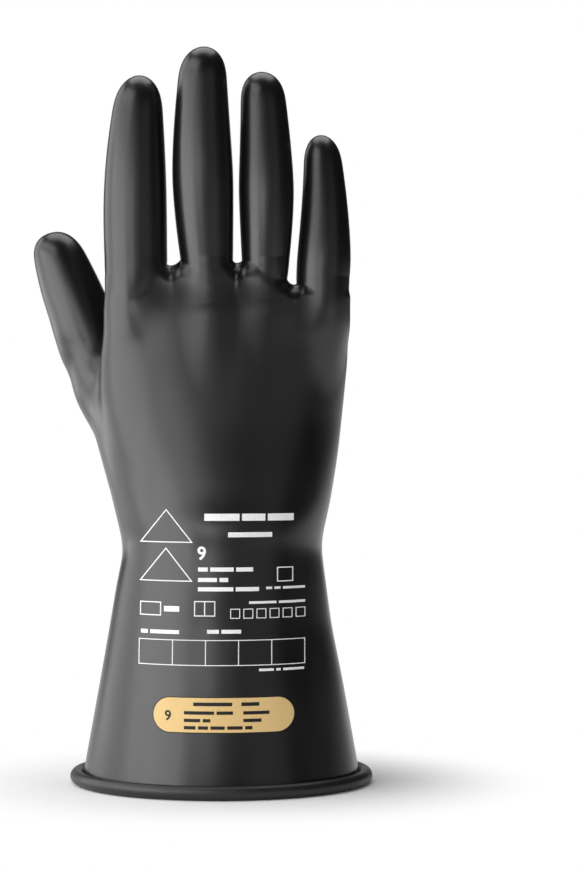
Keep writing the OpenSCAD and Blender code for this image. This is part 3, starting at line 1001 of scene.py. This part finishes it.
# left and right end and height from the label's middle, thickness, lengths of the dashes
LABEL_ROWS = [
    (-11, 3.2, 3.9, 1.3, [14.2]),
    (6.5, 13, 3.9, 1.3, [6.5]),
    (-14.4, 3.6, 0.8, 1.2, [11, 6]),
    (7.2, 16.7, 0.8, 1.2, [9.5]),
    (-14.4, -4.7, -1.9, 1.2, [6, 3]),
    (7.2, 13.8, -1.9, 1.2, [6.6]),
    (-14.4, 10.5, -4.5, 1.2, [4.3, 3.6, 5.2, 5.6, 3]),
]
marks = [numeral("9", label_x - 20.3, label_z - 0.3, 3.7)]
for left, right, up, height, lengths in LABEL_ROWS:
    marks += dashes(label_x + left, label_x + right, label_z + up, height, lengths)
film("label_marks", marks, 0.10, 0.0, "gauntlet", dark_ink)
print("label:", len(marks), "marks, middle at", round(label_x, 1), round(label_z, 1))

# %% [markdown]
# The white marks stand above the label: two triangles, a size numeral, rows of dashes where
# words would be, small boxes for signs, and a row of five fields to write in.

# %% The white marks
LINE = 0.38
FINE_LINE = 0.3
TRIANGLE = (-29.9, -9.7, 12.4)  # left and right corner, height
TRIANGLE_FEET = (78.0, 92.2)
# left and right end, height above the floor, thickness, lengths of the dashes
PRINT_ROWS = [
    (-5.5, 27.5, 101.6, 2.6, [13.0, 8.6, 9.6]),
    (3.3, 19.5, 95.2, 1.8, [16.2]),
    (-7.7, 12.5, 82.5, 1.5, [3.6, 8.6, 6.2]),
    (-7.7, 3.4, 78.7, 1.5, [7, 3.2]),
    (-7.7, 14.7, 75.3, 1.5, [13, 8.5]),
    (17.3, 31.7, 75.6, 0.9, [2.2, 2.2, 8.2]),
    (-20.3, -14.6, 68.0, 2.0, [5.7]),
    (11.1, 31.7, 70.4, 0.9, [10, 9.7]),
    (-29.0, -14.6, 59.6, 1.4, [2.6, 11]),
    (-4.3, 8.2, 59.9, 1.4, [4.4, 7.2]),
    (14.8, 31.3, 46.0, 0.9, [5.4, 1.6, 8]),
]
# left, right, low and high side, width of the line
PRINT_BOXES = [
    (21.3, 27.3, 77.8, 83.2, LINE),
    (-29.5, -21.4, 65.4, 70.5, LINE),
    (-9.1, -1.3, 65.4, 71.0, LINE),
    (-29.8, 31.7, 47.6, 56.9, FINE_LINE),
]
PRINT_BOXES += [(x, x + 3.6, 64.6, 68.2, FINE_LINE) for x in np.arange(4.2, 31, 4.8)]
FIELD_BORDERS = (-17.0, -4.8, 7.3, 19.4)
left, right, rise = TRIANGLE
marks = [closed_line([(left, z), (right, z), ((left + right) / 2, z + rise)], LINE) for z in TRIANGLE_FEET]
marks += [numeral("9", -6.4, 88.4, 5.0)]
for row in PRINT_ROWS:
    marks += dashes(*row)
marks += [box(*sides) for sides in PRINT_BOXES]
marks += [bar(-5.4, -5.0, 68.2, 5.0)]
marks += [bar(x - 0.16, x + 0.16, 52.25, 8.7) for x in FIELD_BORDERS]
film("white_marks", marks, 0.05, 0.05, wrist_bend, white_ink)
print("print:", len(marks), "white marks")

# %% [markdown]
# ## The studio
# The floor is a pale sheet that takes the glove's shadow. Away from the glove it turns into plain
# white, for the camera and in reflections, so that floor and backdrop are one.

# %% Floor
FLOOR_HALF = 6  # half the floor's side, in m
FADE = (0.058, 0.125)  # the floor turns white between these distances from the glove's middle, in m


def white_rays(tree):
    """One on the camera's rays; one on glossy and transmission rays."""
    path = add_node(tree, "ShaderNodeLightPath").outputs
    mirrored = math_node(tree, "MAXIMUM", path["Is Glossy Ray"], path["Is Transmission Ray"])
    return path["Is Camera Ray"], mirrored


corners = [(x * FLOOR_HALF, y * FLOOR_HALF, 0) for x, y in ((-1, -1), (1, -1), (1, 1), (-1, 1))]
floor_mesh = bpy.data.meshes.new("floor")
floor_mesh.from_pydata(corners, [], [(0, 1, 2, 3)])
floor = bpy.data.objects.new("floor", floor_mesh)
bpy.context.scene.collection.objects.link(floor)
pale, tree, shader = new_finish("pale_floor", (0.85, 0.85, 0.85), 0.9, 0.0)
place = add_node(tree, "ShaderNodeTexCoord")
far = add_node(tree, "ShaderNodeVectorMath", {0: place.outputs["Object"]}, operation="LENGTH")
fade = add_node(tree, "ShaderNodeMapRange",
                {"Value": far.outputs["Value"], "From Min": FADE[0], "From Max": FADE[1]},
                interpolation_type="SMOOTHSTEP")
seen = math_node(tree, "MULTIPLY", fade.outputs["Result"], math_node(tree, "MAXIMUM", *white_rays(tree)))
white = add_node(tree, "ShaderNodeEmission")
mix = add_node(tree, "ShaderNodeMixShader", {0: seen, 1: shader.outputs[0], 2: white.outputs[0]})
tree.links.new(mix.outputs[0], tree.nodes["Material Output"].inputs["Surface"])
floor_mesh.materials.append(pale)
print("floor:", 2 * FLOOR_HALF, "m wide, white beyond", FADE[1], "m")

# %% [markdown]
# Black rubber shows no colour of its own, so its form is drawn by what it reflects. One broad
# soft box on the left runs a highlight down every finger, two weaker boxes beside it let that
# highlight fade out, and the right side reflects almost nothing.

# %% Lamps
AIM = Vector((0, 0, 0.14))  # the middle of the glove


def lamp(name, azimuth, distance, height, size, radiance):
    """A soft box that looks at the glove; azimuth 0 is in front and -90 on the left, sizes in m."""
    light = bpy.data.lights.new(name, "AREA")
    light.shape = "RECTANGLE"
    light.size, light.size_y = size
    light.energy = radiance * math.pi * size[0] * size[1]
    soft_box = bpy.data.objects.new(name, light)
    turn = math.radians(azimuth)
    soft_box.location = (distance * math.sin(turn), -distance * math.cos(turn), height)
    soft_box.rotation_euler = (AIM - soft_box.location).to_track_quat("-Z", "Y").to_euler()
    soft_box.visible_camera = False
    bpy.context.scene.collection.objects.link(soft_box)
    return soft_box


lamp("main_box", -60, 0.9, 0.30, (1.00, 0.56), 3.7)
lamp("feather_box", -16, 0.95, 0.42, (0.40, 0.28), 3.2)
lamp("edge_box", 6, 0.95, 0.47, (0.34, 0.22), 1.0)
lamp("high_box", -55, 0.72, 0.84, (0.9, 0.46), 2.4)
lamp("wrap_box", -112, 0.8, 0.40, (0.75, 0.85), 1.9)
lamp("fill_box", 40, 1.2, 0.45, (0.8, 0.8), 0.3)
even_box = lamp("even_box", 55, 1.2, 0.40, (0.8, 0.8), 1.5)
lamp("top_box", 180, 0.25, 1.0, (0.9, 0.7), 2.6)
even_box.visible_glossy = False  # evens out the print, and leaves the rubber's black side black
print("lamps:", [light.name for light in bpy.data.lights])

# %% [markdown]
# The glove stands in a dark studio before a white backdrop. The world is white to the camera from
# every side. Glossy and transmission rays see the white only where the backdrop stands, straight
# behind the glove, and everything else stays dim, so that black rubber keeps its black side.

# %% World
BACKDROP = (0.90, 0.97)  # a ray straight back counts as 1, and the backdrop fades in between these
DIM = 0.02  # strength of the world away from the backdrop

world = bpy.data.worlds.new("white")
bpy.context.scene.world = world
world.use_nodes = True
tree = world.node_tree
away = add_node(tree, "ShaderNodeTexCoord")
parts = add_node(tree, "ShaderNodeSeparateXYZ", {0: away.outputs["Generated"]})
backdrop = spread(tree, parts.outputs[1], 0.0, 1.0, *BACKDROP)
camera_ray, mirrored = white_rays(tree)
white_share = math_node(tree, "MAXIMUM", camera_ray, math_node(tree, "MULTIPLY", mirrored, backdrop))
background = tree.nodes["Background"]
background.inputs["Color"].default_value = (1, 1, 1, 1)
tree.links.new(spread(tree, white_share, DIM, 1.0, 0.0, 1.0), background.inputs["Strength"])
print("world: white behind the glove,", DIM, "elsewhere in reflections")

# %% [markdown]
# The camera looks level at the back of the hand, as in a catalogue, from one metre away.

# %% Camera
CAMERA_AT = (0.0263, -1.0, 0.1316)
SEEN_HEIGHT = 0.3327  # the longer side of the view at one metre, in m
SENSOR = 36

camera_data = bpy.data.cameras.new("camera")
camera = bpy.data.objects.new("camera", camera_data)
bpy.context.scene.collection.objects.link(camera)
camera.location = CAMERA_AT
camera.rotation_euler = (math.radians(90), 0, 0)
camera_data.sensor_width = SENSOR
camera_data.lens = SENSOR / SEEN_HEIGHT
bpy.context.scene.camera = camera
bpy.context.scene.view_settings.view_transform = "Standard"
print("camera: lens", round(camera_data.lens, 1), "mm")
